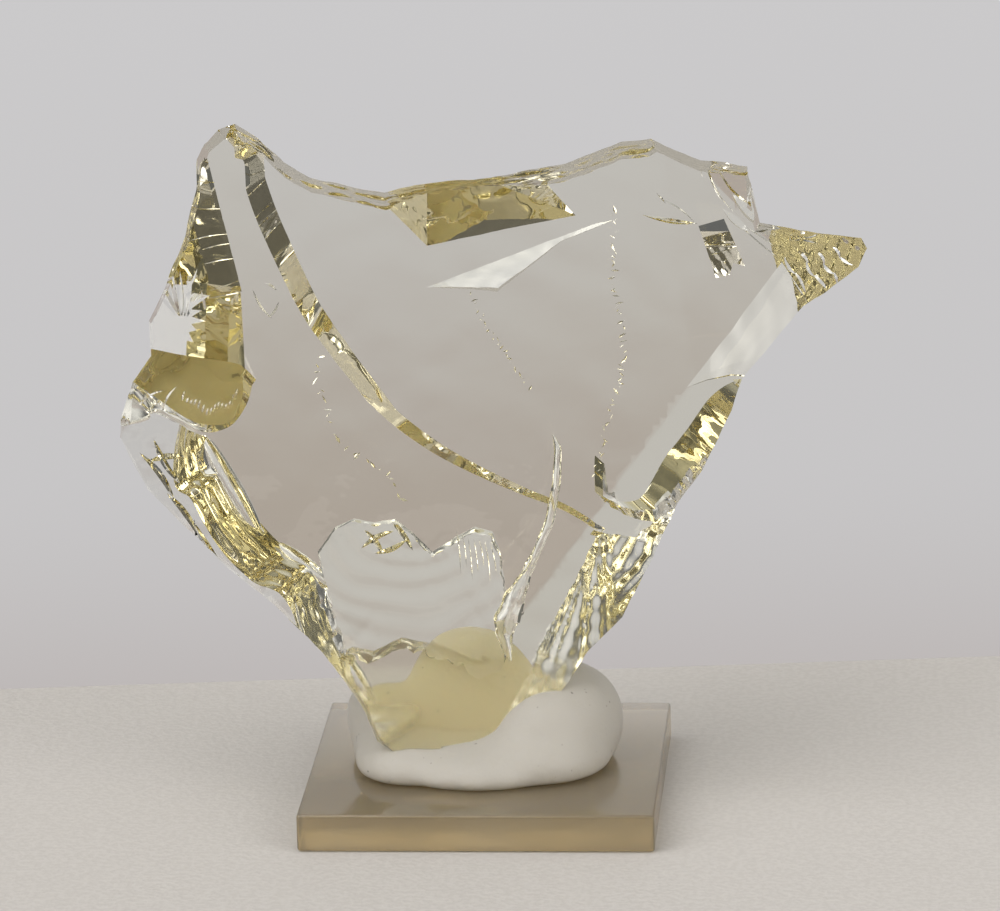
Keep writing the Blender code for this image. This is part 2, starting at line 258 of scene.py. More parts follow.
def bevel(face, start, end, slope, reach=5.0, **look):
    """The block behind a facet that leaves a main face along the line from start to end."""
    first, facing, middle, fall = facet_plane(face, start, end, slope)
    return slab(first, facing, middle=middle + fall * reach, **look)


def grooves(face, lines, width, depth):
    """V-shaped grooves in a face, tapering to nothing at both ends.

    Each line is its start and end (across, up) and how far its middle bends sideways.
    """
    verts, faces_out = [], []
    normal = np.array(Vector(face[1]).normalized())
    for start, end, bend in lines:
        first, last = np.array(start, dtype=float), np.array(end, dtype=float)
        ahead = (last - first) / np.linalg.norm(last - first)
        side = np.array([-ahead[1], ahead[0]])
        share = np.linspace(0.0, 1.0, GROOVE_STATIONS)
        swell = np.sin(np.pi * share) ** 0.6 + 0.02
        base = len(verts)
        for t, size in zip(share, swell):
            centre = first + (last - first) * t + side * bend * math.sin(math.pi * t)
            for offset, lift in ((-0.8, GROOVE_LIFT), (0.8, GROOVE_LIFT), (0.0, -depth * size)):
                across, up = centre + side * offset * width * size
                verts.append((np.array(depth_point(face, across, up)) + normal * lift) * MM)
        for k in range(len(share) - 1):
            for j in range(3):
                i = base + 3 * k
                faces_out.append((i + j, i + (j + 1) % 3, i + 3 + (j + 1) % 3, i + 3 + j))
        faces_out.append((base, base + 1, base + 2))
        faces_out.append((len(verts) - 3, len(verts) - 2, len(verts) - 1))
    return face_outward(mesh_object("grooves", verts, faces_out))


def along(points, step, smooth):
    """Points every step along a closed outline, straight or on a smooth curve through it.

    A side over LONG_SIDE lies outside the shard, so it stays straight and coarse.
    """
    corners = np.array(points, dtype=float)
    count = len(corners)
    out = []
    for k in range(count):
        before, here, there, beyond = (corners[(k + i) % count] for i in (-1, 0, 1, 2))
        length = np.linalg.norm(there - here)
        pieces = max(1, round(length / step)) if length < LONG_SIDE else 3
        for t in np.arange(pieces) / pieces:
            if smooth and length < LONG_SIDE:
                out.append(0.5 * (2 * here + (there - before) * t
                                  + (2 * before - 5 * here + 4 * there - beyond) * t ** 2
                                  + (3 * here - before - 3 * there + beyond) * t ** 3))
            else:
                out.append(here + (there - here) * t)
    return np.array(out)


def sideways(path):
    """The direction square to a closed path at each of its points."""
    ahead = np.roll(path, -1, axis=0) - np.roll(path, 1, axis=0)
    side = np.stack([ahead[:, 1], -ahead[:, 0]], axis=1)
    return side / (np.linalg.norm(side, axis=1, keepdims=True) + 1e-9)


def column(face, outline, lean=(0.0, 0.0), step=0.5, jag=0.0, grain=(1.5, 4.0), smooth=True):
    """A column through the shard over an outline that is drawn on a main face.

    lean is how far it shifts for each millimetre into the glass. jag is how far its walls
    splinter at JAG_DEEP, with splinters of grain (along the outline, into the glass).
    """
    inward = -math.copysign(1.0, face[1][1])
    path = along(outline, step, smooth)
    run = np.cumsum(np.linalg.norm(np.roll(path, 1, axis=0) - path, axis=1))
    side = sideways(path)
    depths = np.concatenate([[-30.0, -8.0], np.arange(-2.0, 12.0, step), [14.0, 30.0]])
    rings = []
    for deep in depths:
        flat = path + np.array(lean) * deep
        where = np.column_stack([run / grain[0], np.full(len(path), deep / grain[1]),
                                 np.zeros(len(path))])
        strength = min(max(deep / JAG_DEEP, 0.08), 1.0) if -3 < deep < 13 else 0.0
        flat = flat + side * (jag * strength * rough(where, 1.0, JAG_SEED)).reshape(-1, 1)
        away = deep * inward + depth_on(face, flat[:, 0], flat[:, 1])
        rings.append(np.column_stack([flat[:, 0], away, flat[:, 1]]))
    return wall_object("column", rings)


def wall_object(name, rings):
    """A closed solid through rings of points, all of one length."""
    count = len(rings[0])
    faces_out = []
    for r in range(len(rings) - 1):
        for k in range(count):
            after = (k + 1) % count
            faces_out.append((r * count + k, r * count + after,
                              (r + 1) * count + after, (r + 1) * count + k))
    faces_out.append(tuple(range(count)))
    faces_out.append(tuple(range((len(rings) - 1) * count, len(rings) * count)))
    return face_outward(mesh_object(name, np.concatenate(rings) * MM, faces_out))


def ball(face, centre, radii, bite, turn, relief):
    """An egg-shaped block that leaves a hollow bite deep in a main face."""
    outward = Vector(face[1]).normalized()
    middle = Vector(depth_point(face, *centre)) + outward * (radii[1] - bite)
    size = Matrix.Diagonal((*radii, 1.0))
    roll = Matrix.Rotation(math.radians(turn), 4, 'Y')
    aim = outward.to_track_quat('Y', 'Z').to_matrix().to_4x4()
    place = Matrix.Translation(middle) @ aim
    bm = bmesh.new()
    bmesh.ops.create_icosphere(bm, subdivisions=5, radius=1.0, matrix=place @ roll @ size)
    points = np.array([vert.co for vert in bm.verts])
    outward = points - np.array(middle)
    outward /= np.linalg.norm(outward, axis=1, keepdims=True)
    right, up = np.array((1.0, 0.0, 0.0)), np.array((0.0, 0.0, 1.0))
    points = points + outward * relief.height(points, right, up).reshape(-1, 1)
    for vert, point in zip(bm.verts, points):
        vert.co = point * MM
    return bmesh_object("ball", bm)


def beads(face, dents, relief):
    """One block of egg shapes, each given by its centre, radii, bite and turn."""
    parts = [ball(face, *dent, relief) for dent in dents]
    for other in parts[1:]:
        boolean(parts[0], other, 'UNION')
    return parts[0]


def apply_modifiers(piece):
    graph = bpy.context.evaluated_depsgraph_get()
    mesh = bpy.data.meshes.new_from_object(piece.evaluated_get(graph))
    piece.modifiers.clear()
    old = piece.data
    piece.data = mesh
    bpy.data.meshes.remove(old)


def boolean(target, other, operation):
    """Apply a Boolean to target and remove the other object."""
    cut = target.modifiers.new("cut", 'BOOLEAN')
    cut.operation = operation
    cut.solver = 'MANIFOLD'
    cut.object = other
    apply_modifiers(target)
    bpy.data.objects.remove(other, do_unlink=True)


# --- the shard's cuts: each takes away the space that all its blocks share -----------------

def foot_cuts(inset=0.0):
    """The cuts that shape the shard's foot, with its main faces moved in by inset."""
    still = Relief((-5, -10, 20), waves=(0.012, 7), lumps=(0.03, 14), seed=11)
    calm = Relief((10, 0, 60), waves=(0.015, 9), lumps=(0.03, 12), seed=12)
    front, back = ([Vector(face[0]) - inset * Vector(face[1]), face[1]] for face in (FRONT, BACK))
    return {
        "front_face": [slab(*front, span=44, step=0.8, relief=still)],
        "back_face": [slab(*back, span=44, step=0.8, relief=calm)],
        "sole": [slab((0, 0, SOLE_HEIGHT + inset), (0, math.sin(LEAN), -math.cos(LEAN)))],
        "right_bevel": [bevel(FRONT, (32.6, 52.3), (13.0, 27.3), 12, span=26, step=0.6,
                              relief=Relief((30, -15, 60), (0.02, 5), (0, 1), (0.05, 6), 13)),
                        column(FRONT, ((60, -10), (60, 42), (35.6, 48.0), (32.9, 52.2), (28, 60),
                                       (10, 60), (-5, 20), (-5, -10)), smooth=False)],
    }


def star(centre, spikes, dip):
    """An outline of spikes, each given by its angle and length, that dips between them."""
    points = []
    for k, (angle, length) in enumerate(spikes):
        following = spikes[(k + 1) % len(spikes)][0] + (360 if k + 1 == len(spikes) else 0)
        for turn, reach in ((angle, length), ((angle + following) / 2, dip)):
            points.append((centre[0] + reach * math.cos(math.radians(turn)),
                           centre[1] + reach * math.sin(math.radians(turn))))
    return points


def on_front(points):
    """Outline points moved to where the front face carries them."""
    x, y = DRAW_CENTRE
    return [(x + (a - x) * FRONT_SCALE, y + (b - y) * FRONT_SCALE) for a, b in points]


def facet(start, end, slope):
    """The face of a bevel that leaves the back along a line, given as FRONT and BACK are."""
    return depth_point(BACK, *start), facet_plane(BACK, start, end, slope)[1]


# The lines and slopes of the bevels that carry grooves.
LEFT_BEVEL = ((-25.2, 51.5), (-28.5, 66.0), 51)
FLANK_BEVEL = ((-29.0, 34.5), (-22.5, 41.0), 38)
SPUR_BEVEL = ((31.0, 58.5), (33.7, 47.6), 46)
FAN_BEVEL = ((23.5, 65.0), (30.4, 57.2), 20)
SCAR = ((-34.0, -10.6, 48.0), (-0.28, 1.0, 0.1))
SHELF = ((-30.0, -6.2, 28.0), (-0.10, 1.0, 0.15))
DISH = ((-6.0, 2.4, 20.0), (0.05, 1.0, 0.13))


def scar_block():
    return slab(*SCAR, relief=Relief((-34, -11, 48), (0.015, 1.5), (0.05, 0.9), (0.02, 3), 21, 2.0))


def other_cuts():
    """The cuts that shape the rest of the shard."""
    left, flank, spur, fan = (
        facet(*line) for line in (LEFT_BEVEL, FLANK_BEVEL, SPUR_BEVEL, FAN_BEVEL))
    burst = star((-33.4, 48.6), (
        (-62, 3.4), (-40, 3.9), (-20, 3.6), (-4, 4.4), (12, 4.1), (27, 5.6), (40, 4.3),
        (52, 5.9), (63, 5.2), (73, 7.2), (84, 6.4), (94, 7.8), (105, 6.0), (118, 6.6),
        (135, 6.0), (165, 6.0), (195, 6.0), (240, 4.6), (268, 4.0)), 2.9)
    return {
        "left_bevel": [
            bevel(BACK, *LEFT_BEVEL, span=9, step=0.3,
                  relief=Relief((12, 5, 50), (0.0, 4), (0.03, 2.6), (0.02, 6), 22, 11.0)),
            column(BACK, ((-60, 52.4), (-30.5, 52.2), (-20, 51.3), (-20, 70), (-60, 82)),
                   smooth=False),
        ],
        "left_bevel_low": [
            bevel(BACK, (-25.2, 44.0), (-25.4, 52.5), 51, span=9, step=0.3,
                  relief=Relief((12, 5, 40), (0.0, 3), (0.012, 2.6), (0.02, 6), 23, 11.0)),
            column(BACK, ((-60, 53.0), (-30.5, 52.6), (-20, 51.6), (-20, 43.0), (-60, 47.0)),
                   smooth=False),
            scar_block(),
        ],
        "left_streaks": [grooves(left, (
            ((-30.2, 65.4), (-24.9, 65.8), 0.1), ((-29.5, 63.4), (-26.4, 63.5), 0.0),
            ((-29.9, 60.5), (-26.4, 60.7), -0.1), ((-31.4, 56.6), (-26.0, 58.0), 0.2),
            ((-29.2, 56.1), (-25.7, 57.0), 0.1), ((-29.5, 54.4), (-25.3, 55.4), 0.1),
            ((-30.2, 51.2), (-25.3, 53.0), -0.1), ((-29.8, 50.7), (-25.2, 51.7), -0.1)),
            0.16, 0.16)],
        "star_rays": [grooves(left, (
            ((-31.7, 48.8), (-32.5, 54.3), 0.1), ((-31.5, 48.8), (-31.6, 53.6), -0.1),
            ((-31.2, 48.8), (-29.8, 54.0), 0.2), ((-31.7, 48.8), (-33.7, 52.7), 0.0),
            ((-30.9, 48.8), (-28.8, 52.6), 0.2), ((-30.0, 52.6), (-29.0, 49.6), 0.1)), 0.2, 0.2)],
        "starburst": [
            scar_block(),
            column(BACK, burst, smooth=False, step=0.35),
        ],
        "yellow_flank": [
            bevel(BACK, *FLANK_BEVEL,
                  relief=Relief((-30, 0, 50), (0.02, 3.5), (0, 1), (0.04, 6), 24)),
            column(BACK, ((-24.4, 42.6), (-24.5, 41.7), (-25.2, 39.6), (-27.0, 37.4), (-29.9, 36.8),
                          (-32.8, 38.2), (-35.2, 39.2), (-38.2, 37.8), (-60, 34), (-60, 43.0),
                          (-36.0, 42.0), (-30.3, 42.0)), (-0.30, 0.30)),
        ],
        "flank_glints": [grooves(flank, [
            ((x, z + 0.3 * math.sin(2.4 * x)), (x + 0.3, z + 0.8 + 0.3 * math.cos(3.1 * x)), 0.05)
            for x, z in [(-31.9 + 0.4 * k, 38.7 + 0.03 * (k - 7) ** 2) for k in range(15)]]
            + [((-36.4, 39.4), (-33.6, 41.0), 0.4), ((-34.0, 38.9), (-32.4, 41.4), 0.3)],
            0.15, 0.2)],
        "lower_left_shelf": [
            column(BACK, ((-29.0, 60), (-29.5, 36.7), (-27.5, 32.4), (-25.2, 28.3), (-21.4, 24.0),
                          (-18.0, 21.9), (-16.2, 17.6), (-14.2, 12.0), (-12.4, 7.0), (-8, 4),
                          (-30, -20), (-70, -20), (-70, 60)), (-0.44, -0.38), jag=0.5,
                   grain=(9.0, 2.2)),
            column(BACK, ((-60, 34), (-38.2, 37.6), (-35.2, 39.0), (-32.8, 38.0), (-29.9, 36.4),
                          (-26, 36), (-5, 36), (-5, -20), (-60, -20)), (0.0, -0.05), jag=0.3),
            slab(*SHELF, span=22,
                 relief=Relief((-30, 0, 45), (0.03, 3.5), (0.08, 1.5), (0.04, 4), 25)),
        ],
        "shelf_nicks": [grooves(SHELF, (
            ((-36.6, 34.4), (-33.0, 29.2), 0.4), ((-35.0, 35.8), (-32.4, 31.0), -0.3),
            ((-33.8, 30.0), (-30.4, 25.0), 0.3), ((-32.4, 36.2), (-31.0, 32.4), 0.2),
            ((-31.2, 27.0), (-28.4, 22.6), -0.2), ((-35.6, 33.4), (-31.8, 33.8), 0.3)), 0.5, 0.6)],
        "long_ledge": [
            column(BACK, ((-24.5, 80), (-24.5, 65.1), (-24.1, 61.3), (-21.5, 54.7), (-18.9, 49.2),
                          (-16.2, 45.2), (-11.6, 39.0), (18, 0), (70, 0), (70, 80)),
                   (0.85, 0.45), jag=0.08, grain=(2.0, 8.0)),
            column(BACK, ((-40, 77), (-16.6, 45.6), (-11.0, 38.6), (-6.2, 34.7), (-1.4, 31.9),
                          (4.2, 29.3), (8.5, 27.6), (12.0, 25.6), (16.1, 24.1), (70, 14),
                          (70, 90)), (0.56, 0.47), jag=0.08, grain=(2.0, 8.0)),
            slab((0.0, -0.85, 35.0), (-0.06, 1.0, 0.2407), span=44, step=0.8,
                 relief=Relief((20, 0, 70), (0.012, 8), (0, 1), (0.02, 12), 26)),
        ],
        "hook_ledge": [
            column(BACK, ((11.9, 31.8), (12.6, 29.8), (14.2, 29.0), (16.2, 29.3), (17.6, 31.3),
                          (19.2, 33.7), (22.0, 36.9), (24.4, 39.9), (27.0, 41.4), (31.0, 41.6),
                          (70, 42), (70, 0), (12.0, 0)), (0.56, -0.58), jag=0.04,
                   grain=(0.8, 9.0), step=0.3),
            column(BACK, ((-10, 40), (11.6, 32.0), (12.3, 29.4), (13.4, 27.9), (15.4, 26.8),
                          (18.3, 26.1), (20.4, 27.0), (25, 31), (60, 40), (60, 90), (-60, 90)),
                   (-0.25, 0.45), jag=0.7, grain=(0.8, 4.0), smooth=False, step=0.3),
            slab((15.0, -0.9, 29.5), (0.27, 1.0, 0.249), span=18, step=0.4,
                 relief=Relief((26, 0, 42), (0.02, 5), (0.2, 0.9), (0.02, 5), 27, 1.5)),
        ],
        "top_bowl": [
            bevel(BACK, (-12.5, 61.0), (-5.3, 54.2), 42,
                  relief=Relief((0, 0, 75), (0.015, 3.5), (0.05, 1.5), (0.03, 5), 28)),
            bevel(BACK, (-5.3, 54.2), (9.0, 57.8), 35,
                  relief=Relief((0, 0, 75), (0.02, 4), (0.02, 1.5), (0.04, 6), 29)),
            bevel(BACK, (13.0, 57.5), (7.0, 64.5), 50,
                  relief=Relief((0, 0, 75), (0.02, 2.5), (0.08, 1.2), (0.04, 3), 30)),
        ],
        "blade": [
            bevel(BACK, (18.0, 60.0), (-8.6, 52.6), 47,
                  relief=Relief((12, 0, 60), (0.01, 2), (0.03, 1.2), (0.02, 4), 32)),
            column(BACK, ((-8.5, 51.6), (-3.9, 54.0), (2.7, 56.3), (14.9, 58.3), (9.2, 56.1),
                          (5.6, 53.4), (2.2, 50.9), (-0.7, 51.2)), (0.04, 0.10), jag=0.15,
                   grain=(1.0, 3.0), smooth=False, step=0.35),
        ],
        "spur_bevel": [
            bevel(BACK, *SPUR_BEVEL, span=10, step=0.25,
                  relief=Relief((27, 0, 66), (0.04, 1.5), (0.10, 1.3), (0.03, 2.5), 33, 2.6)),
            column(BACK, ((20, 70), (20, 40), (36, 46.5), (50, 46), (50, 70)), smooth=False),
        ],
        "spur_top": [
            column(FRONT, ((29.5, 60.6), (34.0, 56.8), (38.0, 56.3), (41.6, 55.3), (44, 53.8),
                           (60, 56), (60, 70), (29.5, 70)), (-0.02, -0.12), jag=0.3,
                   grain=(2.0, 1.4), smooth=False),
        ],
        "white_facet": [
            bevel(FRONT, (32.4, 52.3), (19.4, 36.0), 30, span=16,
                  relief=Relief((36, -15, 55), (0.03, 6), (0.03, 2), (0.06, 5), 43)),
            column(FRONT, ((21.6, 39.4), (24.4, 40.4), (27.0, 40.9), (31, 40.6), (60, 39),
                           (60, 42), (35.6, 48.0), (32.9, 52.2), (28, 60), (20, 60)),
                   smooth=False),
        ],
        "corner_fan": [bevel(BACK, *FAN_BEVEL, span=9, step=0.3,
                             relief=Relief((31, -3, 54), lumps=(0.05, 3), seed=41))],
        "fan_streaks": [grooves(fan, (
            ((24.2, 64.2), (27.3, 59.2), -0.5), ((24.9, 64.2), (29.8, 57.6), -0.8),
            ((26.0, 64.0), (30.9, 59.0), -0.7), ((25.1, 63.4), (28.8, 58.1), -0.5)), 0.2, 0.3)],
        "fan_gashes": [grooves(fan, (
            ((27.8, 60.8), (32.0, 57.0), -0.3), ((26.6, 59.8), (29.8, 56.8), -0.2)), 0.9, 0.9)],
        "spur_streaks": [grooves(spur, (
            ((34.6, 54.4), (35.7, 53.0), 0.2), ((35.5, 53.3), (36.3, 51.6), -0.2),
            ((36.2, 51.9), (37.5, 50.2), 0.1), ((36.6, 54.2), (37.4, 52.7), 0.2),
            ((37.2, 53.0), (38.5, 51.6), -0.2), ((38.3, 51.9), (38.7, 50.6), 0.1),
            ((38.2, 54.6), (39.0, 53.2), 0.2), ((38.9, 53.5), (40.3, 52.4), -0.1),
            ((33.2, 53.9), (34.4, 52.0), -0.2), ((34.2, 52.3), (35.4, 49.9), 0.2),
            ((33.6, 55.6), (36.8, 55.0), 0.2), ((36.4, 55.2), (39.4, 54.9), -0.2)), 0.2, 0.3)],
        "corner_sliver": [grooves(BACK, (((17.6, 59.0), (24.0, 57.8), -0.2),), 0.45, 0.4)],
        "corner_cracks": [grooves(BACK, (
            ((19.6, 61.2), (20.6, 60.0), 0.0), ((20.0, 60.6), (23.8, 57.8), 0.3),
            ((27.6, 58.4), (34.4, 52.6), -0.2), ((29.0, 57.4), (32.8, 54.7), 0.1)), 0.16, 0.3)],
        "right_flank": [
            bevel(BACK, (12.2, 26.5), (1.8, 7.5), 42, span=14, step=0.3,
                  relief=Relief((10, 0, 27), (0.06, 2.2), (0.12, 1.3), (0.22, 4.5), 40, 2.2)),
            column(BACK, ((-10, -10), (70, -10), (70, 34), (24, 31), (21.5, 27.5), (19.9, 26.4),
                          (17.7, 25.4), (16.1, 24.1), (12.8, 25.1), (11.0, 25.5), (-10, 24)),
                   (0.05, 0.12), jag=0.5, grain=(0.8, 3.0), smooth=False, step=0.35)],
        "peak_facet": [
            bevel(BACK, (-25.6, 66.0), (-20.6, 64.6), 52,
                  relief=Relief((-20, 0, 70), lumps=(0.03, 3), seed=42)),
            column(BACK, ((-25.5, 60), (-17, 60), (-17, 80), (-25.5, 80)), smooth=False),
        ],
        "top_rim": [
            column(FRONT, [(-60, 110), (-27, 78)] + on_front(OUTLINE[:10]) + [(60, 90), (60, 110)],
                   (0.0, -0.12), jag=0.3, grain=(3.0, 1.6), smooth=False)],
        "top_rim_right": [
            column(FRONT, on_front(OUTLINE[9:12]) + [(80, 63.0), (80, 110), (-60, 110)],
                   (0.0, -0.03), jag=0.2, grain=(3.0, 1.6), smooth=False)],
        "dish": [
            column(BACK, ((-17.9, 23.6), (-16.0, 26.2), (-13.8, 27.1), (-11.7, 26.6), (-9.5, 27.0),
                          (-7.0, 24.9), (-5.5, 23.3), (-3.0, 24.8), (-0.8, 25.9), (1.1, 25.3),
                          (1.9, 23.1), (2.6, 17.0), (1.1, 12.8), (-1.1, 11.2), (-4.9, 12.9),
                          (-9.2, 13.9), (-12.3, 12.5), (-15.3, 13.2)), (0.0, -0.45), jag=0.9,
                   grain=(0.9, 1.2), smooth=False, step=0.3),
            slab(*DISH, span=12, step=0.35,
                 relief=Relief((-8, 0, 29), (0.02, 2.5), (0.03, 1.3), (0.02, 5), 34, 3.0)),
        ],
        "hook_chip": [grooves(BACK, (
            ((-24.1, 52.0), (-22.1, 48.8), -0.3), ((-22.5, 48.9), (-21.3, 50.6), -0.2),
            ((-22.7, 52.6), (-21.5, 51.8), 0.1)), 0.24, 0.5)],
        "dish_glints": [grooves(DISH, (
            ((-13.2, 23.8), (-9.6, 25.6), 0.3), ((-11.8, 23.2), (-8.2, 24.6), -0.3),
            ((-9.8, 26.6), (-7.6, 23.4), 0.2), ((-12.8, 25.8), (-10.8, 23.0), 0.2)), 0.45, 0.5)],
        "dish_lines": [grooves(DISH, [
            ((-2.8 + 0.6 * k, 25.4 - 0.2 * k),
             (-2.5 + 0.65 * k, 20.6 + 0.9 * math.sin(2.1 * k)), 0.1) for k in range(8)],
            0.12, 0.15)],
        "flutes": [beads(BACK, (
            ((-27.0, 30.6), (7.0, 3.0, 1.2), 2.4, 63), ((-24.4, 25.6), (6.0, 2.6, 1.0), 1.8, 55),
            ((-19.3, 22.0), (4.6, 2.6, 1.1), 1.5, 40), ((-20.6, 16.6), (6.5, 2.6, 1.1), 2.0, 58),
            ((-15.6, 16.8), (4.0, 2.2, 1.2), 1.4, 62), ((-14.6, 10.4), (4.6, 2.4, 1.1), 1.8, 60)),
            relief=Relief((-30, 0, 40), (0.03, 1.6), (0, 1), (0.05, 3), 44))],
    }


def flaws():
    """Hollow cracks that lie wholly inside the glass."""
    cracks = [
        pane((23.9, -12.6, 57.0), (26.7, -9.8, 57.9), (28.9, -7.5, 52.9), (27.6, -8.9, 53.2),
             (27.2, -9.3, 51.9), (25.7, -10.8, 51.5)),
        spindle(((7.9, -5.0, 35.4, 0.05), (8.4, -5.2, 34.0, 0.38), (8.1, -5.5, 30.0, 0.42),
                 (7.2, -6.0, 25.7, 0.48), (5.7, -6.4, 22.4, 0.5), (4.6, -6.6, 20.2, 0.55),
                 (3.2, -6.8, 17.6, 1.15), (2.2, -6.9, 15.4, 1.2), (1.9, -7.0, 13.8, 0.7),
                 (2.2, -7.0, 12.2, 0.5), (2.6, -7.0, 10.8, 0.1))),
    ]
    cracks += strokes(((15.0, -8, 59.4), (14.7, -8, 51.4), (15.5, -7, 47.8), (15.7, -7, 43.4),
                       (15.2, -6, 40.6), (13.4, -6, 35.3), (12.3, -5, 30.7)), 60, 1.0, 71)
    cracks += strokes(((-0.7, -5, 50.9), (1.4, -5, 46.5), (4.5, -4, 42.1), (5.6, -4, 40.4)),
                      24, 0.8, 72)
    cracks += strokes(((-16.7, -6, 44.6), (-17.5, -6, 42.1), (-15.3, -5, 34.9), (-9.9, -5, 31.5),
                       (-8.4, -5, 28.2)), 24, 1.1, 73)
    return cracks


def run_length(points):
    """How far along a line of points each one lies."""
    steps = np.linalg.norm(np.diff(points, axis=0), axis=1)
    return np.concatenate([[0.0], np.cumsum(steps)])


def strokes(route, count, length, seed):
    """Short thin cracks strewn along a route of points (across, away, up)."""
    draw = random.Random(seed)
    corners = np.array(route, dtype=float)
    run = run_length(corners)
    made = []
    for k in range(count):
        at = run[-1] * (k + draw.random()) / count
        centre = Vector([float(np.interp(at, run, corners[:, axis])) for axis in range(3)])
        centre.x += draw.uniform(-0.3, 0.3)
        tilt = math.radians(draw.uniform(-75, 75))
        reach = length * draw.uniform(0.35, 1.0) / 2
        width = reach * draw.uniform(0.15, 0.4)
        long_way = Vector((math.cos(tilt), 0.3 * draw.uniform(-1, 1), math.sin(tilt))) * reach
        short_way = Vector((-math.sin(tilt), 1.2, math.cos(tilt))) * width
        made.append(pane(centre - long_way, centre - short_way, centre + long_way,
                         centre + short_way, thick=0.04))
    return made


def spindle(route, flat=0.6, sides=18, step=0.2, jag=0.35, seed=61):
    """A closed form along points (across, away, up, half width), like an icicle."""
    points = np.array(route, dtype=float)
    run = run_length(points[:, :3])
    at = np.arange(0.0, run[-1], step)
    path = np.column_stack([np.interp(at, run, points[:, k]) for k in range(4)])
    turn = np.arange(sides) * 2 * np.pi / sides
    rings = []
    for k, (*centre, half) in enumerate(path):
        ahead = path[min(k + 1, len(path) - 1)] - path[max(k - 1, 0)]
        side = np.array([ahead[2], 0.0, -ahead[0]]) / np.hypot(ahead[0], ahead[2])
        where = np.column_stack([np.cos(turn) * 1.3, np.sin(turn) * 1.3,
                                 np.full(sides, at[k] / 2.5)])
        radius = half * (1 + jag * rough(where, 1.0, seed))
        ring = np.array(centre) + (radius * np.cos(turn)).reshape(-1, 1) * side
        ring[:, 1] += flat * radius * np.sin(turn)
        rings.append(ring)
    return wall_object("spindle", rings)


def drop_crumbs(piece):
    """Keep a piece's largest island, without the crumbs that the cuts set loose."""
    bm = bmesh.new()
    bm.from_mesh(piece.data)
    bm.verts.ensure_lookup_table()
    unseen, islands = set(range(len(bm.verts))), []
    while unseen:
        island, ahead = set(), [unseen.pop()]
        while ahead:
            here = ahead.pop()
            island.add(here)
            for edge in bm.verts[here].link_edges:
                other = edge.other_vert(bm.verts[here]).index
                if other in unseen:
                    unseen.remove(other)
                    ahead.append(other)
        islands.append(island)
    largest = max(islands, key=len)
    crumbs = [v for v in bm.verts if v.index not in largest]
    bmesh.ops.delete(bm, geom=crumbs, context='VERTS')
    bm.to_mesh(piece.data)
    bm.free()


def hollow(piece, flaw):
    """Give a piece a closed inner hollow, whose faces point into the hollow."""
    bm = bmesh.new()
    bm.from_mesh(flaw.data)
    bmesh.ops.reverse_faces(bm, faces=bm.faces)
    bm.from_mesh(piece.data)
    bm.to_mesh(piece.data)
    bm.free()
    bpy.data.objects.remove(flaw, do_unlink=True)


def pane(*corners, thick=0.08):
    """A thin crack through the glass, over an outline of points (across, away, up)."""
    middle = sum((Vector(c) for c in corners), Vector()) / len(corners)
    normal = Vector((0.0, 0.0, 0.0))
    for k, corner in enumerate(corners):
        following = Vector(corners[(k + 1) % len(corners)])
        normal += (Vector(corner) - middle).cross(following - middle)
    normal.normalize()
    verts = np.array([list(point) for point in (
        *corners, middle + normal * thick / 2, middle - normal * thick / 2)])
    count = len(corners)
    faces_out = []
    for k in range(count):
        faces_out.append((k, (k + 1) % count, count))
        faces_out.append(((k + 1) % count, k, count + 1))
    return face_outward(mesh_object("pane", verts * MM, faces_out))


def rough_slab(name, grow=0.0):
    """The slab with the shard's outline, its walls chipped, drawing in towards the back."""
    path = along(OUTLINE[::-1], 0.6, smooth=False)
    side = sideways(path)
    centre = np.array(DRAW_CENTRE)
    rings = []
    for away in np.linspace(SLAB_NEAR, SLAB_FAR, round(SLAB_FAR - SLAB_NEAR) + 1):
        scale = FRONT_SCALE + (away - FRONT_DEPTH) * SPREAD
        where = np.column_stack([path[:, 0], np.full(len(path), away * 0.5), path[:, 1]])
        chips = 0.22 * (rough(where, 3.0, 5) - 0.7)
        flat = path + side * (grow + chips).reshape(-1, 1)
        flat = centre + (flat - centre) * scale
        rings.append(np.column_stack([flat[:, 0], np.full(len(path), away), flat[:, 1]]))
    return wall_object(name, rings)


def shard_place():
    """From the shard's own frame, upright on the plate, to the leaning shard."""
    turn = Matrix.Rotation(TURN, 4, 'Z') @ Matrix.Rotation(-LEAN, 4, 'X')
    return Matrix.Translation((0, 0, BASE_THICK * MM)) @ turn


def carve(piece, cuts):
    """Take each cut, the space that all its blocks share, from a piece."""
    for block, *others in cuts.values():
        for other in others:
            boolean(block, other, 'INTERSECT')
        boolean(piece, block, 'DIFFERENCE')


def make_shard():
    shard = rough_slab("shard")
    carve(shard, foot_cuts() | other_cuts())
    drop_crumbs(shard)
    for flaw in flaws():
        hollow(shard, flaw)
    shard.data.transform(shard_place())
    mesh = shard.data
    mesh.shade_smooth()
    mesh.set_sharp_from_angle(angle=math.radians(24))
    mesh.materials.clear()
    mesh.materials.append(glass_material())
    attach(shard, "root")
    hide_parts("crystal")


# Each lobe of the putty: its centre, its radii and its turn about up, in degrees.
PUTTY_LOBES = (
    ((-0.6, -0.2, 5.0), (14.4, 12.4, 3.9), 0), ((7.0, 0.6, 8.0), (7.8, 9.4, 6.9), -10),
    ((-10.4, 2.0, 7.8), (5.2, 8.6, 5.2), 14), ((-1.0, 7.4, 7.8), (10.0, 4.8, 5.6), 0),
    ((-2.0, 7.2, 11.0), (7.6, 4.0, 7.2), 0), ((5.6, -3.4, 5.6), (8.2, 7.8, 4.5), 10),
    ((-8.0, -4.8, 5.2), (6.2, 6.6, 3.4), 12),
)
PUTTY_VOXEL = 0.5
PUTTY_LIFT = 0.004
POCKET_GAP = 0.12
ON_WALL = 0.01


